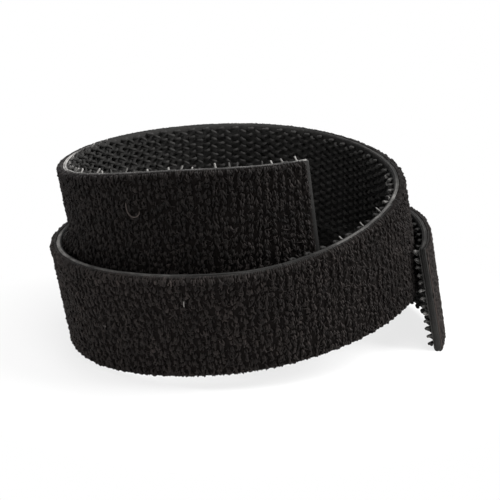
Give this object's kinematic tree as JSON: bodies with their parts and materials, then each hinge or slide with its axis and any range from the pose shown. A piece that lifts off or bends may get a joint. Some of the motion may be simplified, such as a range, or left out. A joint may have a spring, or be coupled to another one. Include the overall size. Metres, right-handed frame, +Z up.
{
  "type": "hook and loop tape roll",
  "caption": "Short black length of back-to-back hook and loop tape, loosely wound and telescoped into an open roll, loops outside and hooks inside, with free ends that bend.",
  "frame": {"origin": "middle of the roll's footprint, on the surface it stands on", "axes": "+Z up along the roll's axis, -Y towards the side where the inner end shows"},
  "size_m": [0.0742, 0.0724, 0.0395],
  "materials": {
    "loop_pile": "brushed nylon loops, matt and slightly warm black",
    "ground_weave": "tight woven nylon, grey where it is cut",
    "bond_film": "thin glue film, satin",
    "hook_rows": "nylon hooks, satin and slightly cool black"
  },
  "bodies": {
    "winding": {"winding_loop_pile": "loop_pile", "winding_loop_ground": "ground_weave", "winding_bond_film": "bond_film", "winding_hook_ground": "ground_weave", "winding_hook_rows": "hook_rows"},
    "outer_tail_1": {"outer_tail_1_loop_pile": "loop_pile", "outer_tail_1_loop_ground": "ground_weave", "outer_tail_1_bond_film": "bond_film", "outer_tail_1_hook_ground": "ground_weave", "outer_tail_1_hook_rows": "hook_rows"},
    "outer_tail_2": {"outer_tail_2_loop_pile": "loop_pile", "outer_tail_2_loop_ground": "ground_weave", "outer_tail_2_bond_film": "bond_film", "outer_tail_2_hook_ground": "ground_weave", "outer_tail_2_hook_rows": "hook_rows"},
    "outer_tail_3": {"outer_tail_3_loop_pile": "loop_pile", "outer_tail_3_loop_ground": "ground_weave", "outer_tail_3_bond_film": "bond_film", "outer_tail_3_hook_ground": "ground_weave", "outer_tail_3_hook_rows": "hook_rows"},
    "outer_tail_4": {"outer_tail_4_loop_pile": "loop_pile", "outer_tail_4_loop_ground": "ground_weave", "outer_tail_4_bond_film": "bond_film", "outer_tail_4_hook_ground": "ground_weave", "outer_tail_4_hook_rows": "hook_rows"},
    "inner_tail_1": {"inner_tail_1_loop_pile": "loop_pile", "inner_tail_1_loop_ground": "ground_weave", "inner_tail_1_bond_film": "bond_film", "inner_tail_1_hook_ground": "ground_weave", "inner_tail_1_hook_rows": "hook_rows"},
    "inner_tail_2": {"inner_tail_2_loop_pile": "loop_pile", "inner_tail_2_loop_ground": "ground_weave", "inner_tail_2_bond_film": "bond_film", "inner_tail_2_hook_ground": "ground_weave", "inner_tail_2_hook_rows": "hook_rows"}
  },
  "joints": [
    {"name": "outer_peel_1", "type": "hinge", "parent": "winding", "child": "outer_tail_1", "pos_m": [-0.02272, 0.02705, 0.0095], "axis": [0, 0, 1], "range_deg": [0, 36], "stiffness_Nm_per_rad": 0.002},
    {"name": "outer_peel_2", "type": "hinge", "parent": "outer_tail_1", "child": "outer_tail_2", "pos_m": [-0.00265, 0.03516, 0.00983], "axis": [-0.0261, -0.0018, 0.9997], "range_deg": [0, 36], "stiffness_Nm_per_rad": 0.002},
    {"name": "outer_peel_3", "type": "hinge", "parent": "outer_tail_2", "child": "outer_tail_3", "pos_m": [0.01887, 0.02944, 0.0105], "axis": [-0.0258, 0.0175, 0.9995], "range_deg": [0, 36], "stiffness_Nm_per_rad": 0.002},
    {"name": "outer_peel_4", "type": "hinge", "parent": "outer_tail_3", "child": "outer_tail_4", "pos_m": [0.03238, 0.01146, 0.01146], "axis": [-0.1466, -0.0546, 0.9877], "range_deg": [0, 36], "stiffness_Nm_per_rad": 0.002},
    {"name": "inner_flex_1", "type": "hinge", "parent": "winding", "child": "inner_tail_1", "pos_m": [-0.02336, -0.02025, 0.02585], "axis": [-0.2026, 0.0431, 0.9783], "range_deg": [0, 25], "stiffness_Nm_per_rad": 0.002},
    {"name": "inner_flex_2", "type": "hinge", "parent": "inner_tail_1", "child": "inner_tail_2", "pos_m": [-0.00742, -0.02811, 0.02851], "axis": [-0.0794, -0.0235, 0.9966], "range_deg": [0, 25], "stiffness_Nm_per_rad": 0.002}
  ],
  "couplings": [
    {"joint": "outer_peel_2", "follows": "outer_peel_1", "ratio": 1},
    {"joint": "outer_peel_3", "follows": "outer_peel_1", "ratio": 1},
    {"joint": "outer_peel_4", "follows": "outer_peel_1", "ratio": 1},
    {"joint": "inner_flex_2", "follows": "inner_flex_1", "ratio": 1}
  ]
}
